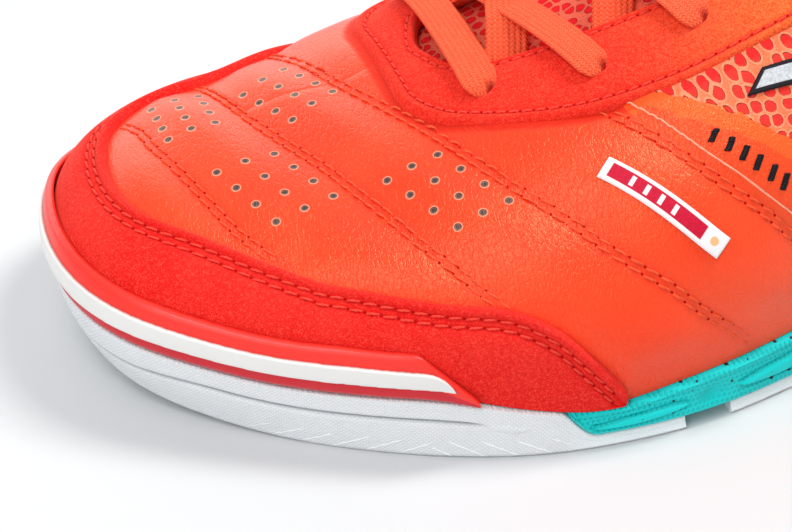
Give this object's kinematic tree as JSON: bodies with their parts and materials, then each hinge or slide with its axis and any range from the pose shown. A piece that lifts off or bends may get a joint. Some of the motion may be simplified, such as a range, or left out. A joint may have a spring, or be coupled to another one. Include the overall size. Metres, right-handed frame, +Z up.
{
  "type": "indoor soccer shoe",
  "caption": "Left indoor soccer shoe with a hollow low-cut upper, suede toe cap and eyestay, rubber toe bumper, flat laces, foam midsole and flat pale outsole pads.",
  "frame": {"origin": "Centre of the sole's footprint box, on the ground plane that the flat of the sole rests on.", "axes": "+X runs along the shoe from toe to heel, so the toe points along -X. +Y is to the inner (medial) side of this left shoe, -Y to the outer (lateral) side. +Z is up."},
  "size_m": [0.2909, 0.1076, 0.1131],
  "materials": {
    "leather": "smooth orange leather with a light grain",
    "suede": "napped red suede",
    "smooth_rubber": "smooth red-orange rubber",
    "stripe_rubber": "smooth off-white rubber",
    "tongue_mesh": "padded mesh cloth",
    "insole_foam": "dark cloth over foam",
    "midsole_foam": "matte teal foam with dark specks",
    "outsole_rubber": "matte pale non-marking rubber",
    "lace_braid": "flat woven orange lace"
  },
  "bodies": {
    "root": {"upper": "leather", "toe_cap": "suede", "eyestay": "suede", "toe_bumper": "smooth_rubber", "toe_stripe": "stripe_rubber", "tongue": "tongue_mesh", "insole": "insole_foam", "midsole": "midsole_foam", "outsole_forefoot": "outsole_rubber", "outsole_ball": "outsole_rubber", "outsole_heel": "outsole_rubber", "lace_bar": "lace_braid", "lace_cross_1": "lace_braid", "lace_cross_2": "lace_braid", "lace_cross_3": "lace_braid", "lace_cross_4": "lace_braid", "lace_cross_5": "lace_braid"}
  },
  "joints": []
}
